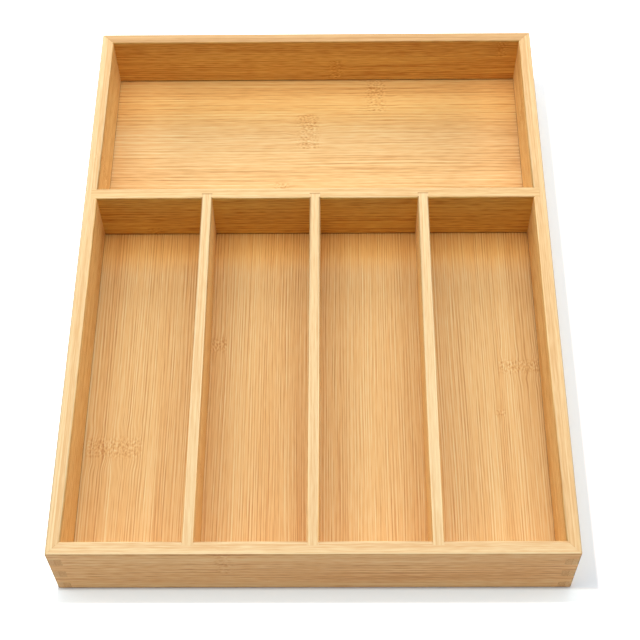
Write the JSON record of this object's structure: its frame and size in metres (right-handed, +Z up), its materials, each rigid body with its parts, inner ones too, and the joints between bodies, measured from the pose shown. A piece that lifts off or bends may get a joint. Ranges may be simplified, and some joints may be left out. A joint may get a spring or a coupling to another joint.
{
  "type": "cutlery tray",
  "caption": "Rectangular laminated bamboo drawer tray with open compartments, a wide one behind and long ones in front, finger-jointed walls and mitred rim.",
  "frame": {"origin": "middle of the footprint, on the surface that the tray stands on", "axes": "+Z up out of the compartments, +Y from the front wall to the rear wall, +X to the right"},
  "size_m": [0.33, 0.432, 0.054],
  "materials": {
    "wall_bamboo": "satin lacquer",
    "divider_bamboo": "satin lacquer",
    "floor_bamboo": "satin lacquer"
  },
  "bodies": {
    "root": {"front_wall": "wall_bamboo", "rear_wall": "wall_bamboo", "left_wall": "wall_bamboo", "right_wall": "wall_bamboo", "cross_rail": "divider_bamboo", "left_divider": "divider_bamboo", "center_divider": "divider_bamboo", "right_divider": "divider_bamboo", "front_floor": "floor_bamboo", "rear_floor": "floor_bamboo"}
  },
  "joints": []
}
